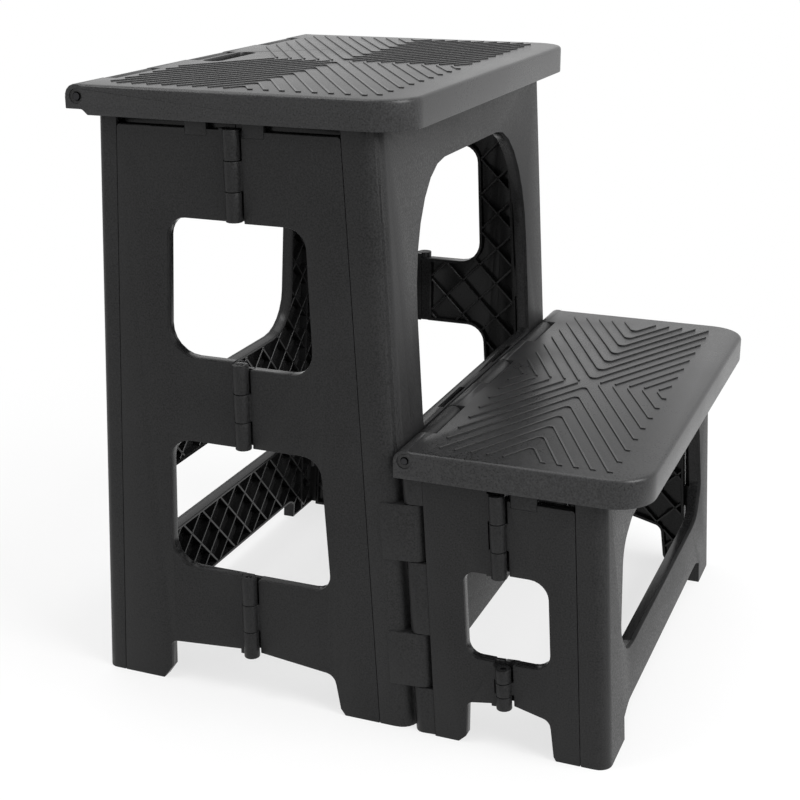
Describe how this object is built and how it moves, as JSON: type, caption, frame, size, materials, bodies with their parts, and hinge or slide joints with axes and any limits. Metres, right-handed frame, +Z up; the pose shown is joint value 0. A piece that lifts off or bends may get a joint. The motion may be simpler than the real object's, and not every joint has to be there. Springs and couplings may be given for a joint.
{
  "type": "folding two-step stool",
  "caption": "Moulded plastic stool with a hinged lower step; both parts fold flat on half-panels and both tops swing up on steel pins.",
  "frame": {"origin": "on the floor under the middle of the box round the open stool", "axes": "+Z up, +X from the tall stool toward the low step, -Y the near side of the picture"},
  "size_m": [0.3718, 0.3314, 0.4],
  "materials": {
    "top_plastic": "fine moulded grain with a soft sheen, near black",
    "step_top_plastic": "fine moulded grain with a soft sheen, near black",
    "leg_plastic": "fine moulded grain, near black",
    "panel_plastic": "fine moulded grain, near black",
    "pin_steel": "drawn wire, darkened"
  },
  "bodies": {
    "rear_leg": {"tall_rear_leg": "leg_plastic", "tall_near_rear_corner_pin": "pin_steel", "tall_far_rear_corner_pin": "pin_steel", "tall_top_pin": "pin_steel"},
    "tall_top": {"tall_top": "top_plastic"},
    "tall_near_rear": {"tall_near_rear_panel": "panel_plastic", "tall_near_lower_hinge_pin": "pin_steel", "tall_near_middle_hinge_pin": "pin_steel", "tall_near_upper_hinge_pin": "pin_steel"},
    "tall_near_front": {"tall_near_front_panel": "panel_plastic"},
    "tall_far_rear": {"tall_far_rear_panel": "panel_plastic", "tall_far_lower_hinge_pin": "pin_steel", "tall_far_middle_hinge_pin": "pin_steel", "tall_far_upper_hinge_pin": "pin_steel"},
    "tall_far_front": {"tall_far_front_panel": "panel_plastic"},
    "front_leg": {"tall_front_leg": "leg_plastic", "tall_near_front_corner_pin": "pin_steel", "tall_far_front_corner_pin": "pin_steel", "step_top_pin": "pin_steel", "step_near_rear_corner_pin": "pin_steel", "step_far_rear_corner_pin": "pin_steel"},
    "step_top": {"step_top": "step_top_plastic"},
    "step_near_rear": {"step_near_rear_panel": "panel_plastic", "step_near_lower_hinge_pin": "pin_steel", "step_near_upper_hinge_pin": "pin_steel"},
    "step_near_front": {"step_near_front_panel": "panel_plastic"},
    "step_far_rear": {"step_far_rear_panel": "panel_plastic", "step_far_lower_hinge_pin": "pin_steel", "step_far_upper_hinge_pin": "pin_steel"},
    "step_far_front": {"step_far_front_panel": "panel_plastic"},
    "step_leg": {"step_front_leg": "leg_plastic", "step_near_front_corner_pin": "pin_steel", "step_far_front_corner_pin": "pin_steel"}
  },
  "joints": [
    {"name": "tall_top_swing", "type": "hinge", "parent": "rear_leg", "child": "tall_top", "pos_m": [-0.17455, 0, 0.3925], "axis": [0, -1, 0], "range_deg": [0, 265]},
    {"name": "tall_fold", "type": "hinge", "parent": "rear_leg", "child": "tall_near_rear", "pos_m": [-0.17543, -0.1508, 0], "axis": [0.0561, 0, 0.9984], "range_deg": [0, 88]},
    {"name": "tall_near_middle", "type": "hinge", "parent": "tall_near_rear", "child": "tall_near_front", "pos_m": [-0.07225, -0.1593, 0], "axis": [0, 0, 1], "range_deg": [-176, 0]},
    {"name": "tall_near_front_corner", "type": "hinge", "parent": "tall_near_front", "child": "front_leg", "pos_m": [0.03093, -0.1508, 0], "axis": [-0.0561, 0, 0.9984], "range_deg": [0, 88]},
    {"name": "tall_far_rear_corner", "type": "hinge", "parent": "rear_leg", "child": "tall_far_rear", "pos_m": [-0.17543, 0.1508, 0], "axis": [0.0561, 0, 0.9984], "range_deg": [-88, 0]},
    {"name": "tall_far_middle", "type": "hinge", "parent": "tall_far_rear", "child": "tall_far_front", "pos_m": [-0.07225, 0.1593, 0], "axis": [0, 0, 1], "range_deg": [0, 176]},
    {"name": "step_top_swing", "type": "hinge", "parent": "front_leg", "child": "step_top", "pos_m": [0.03835, 0, 0.18715], "axis": [0, -1, 0], "range_deg": [0, 92]},
    {"name": "step_fold", "type": "hinge", "parent": "front_leg", "child": "step_near_rear", "pos_m": [0.04956, -0.1523, 0], "axis": [-0.0561, 0, 0.9984], "range_deg": [0, 88]},
    {"name": "step_near_middle", "type": "hinge", "parent": "step_near_rear", "child": "step_near_front", "pos_m": [0.1049, -0.1605, 0], "axis": [-0.0561, 0, 0.9984], "range_deg": [-176, 0]},
    {"name": "step_near_front_corner", "type": "hinge", "parent": "step_near_front", "child": "step_leg", "pos_m": [0.16023, -0.1523, 0], "axis": [-0.0561, 0, 0.9984], "range_deg": [0, 88]},
    {"name": "step_far_rear_corner", "type": "hinge", "parent": "front_leg", "child": "step_far_rear", "pos_m": [0.04956, 0.1523, 0], "axis": [-0.0561, 0, 0.9984], "range_deg": [-88, 0]},
    {"name": "step_far_middle", "type": "hinge", "parent": "step_far_rear", "child": "step_far_front", "pos_m": [0.1049, 0.1605, 0], "axis": [-0.0561, 0, 0.9984], "range_deg": [0, 176]}
  ],
  "couplings": [
    {"joint": "tall_near_middle", "follows": "tall_fold", "ratio": -2},
    {"joint": "tall_near_front_corner", "follows": "tall_fold", "ratio": 1},
    {"joint": "tall_far_rear_corner", "follows": "tall_fold", "ratio": -1},
    {"joint": "tall_far_middle", "follows": "tall_fold", "ratio": 2},
    {"joint": "step_near_middle", "follows": "step_fold", "ratio": -2},
    {"joint": "step_near_front_corner", "follows": "step_fold", "ratio": 1},
    {"joint": "step_far_rear_corner", "follows": "step_fold", "ratio": -1},
    {"joint": "step_far_middle", "follows": "step_fold", "ratio": 2}
  ]
}
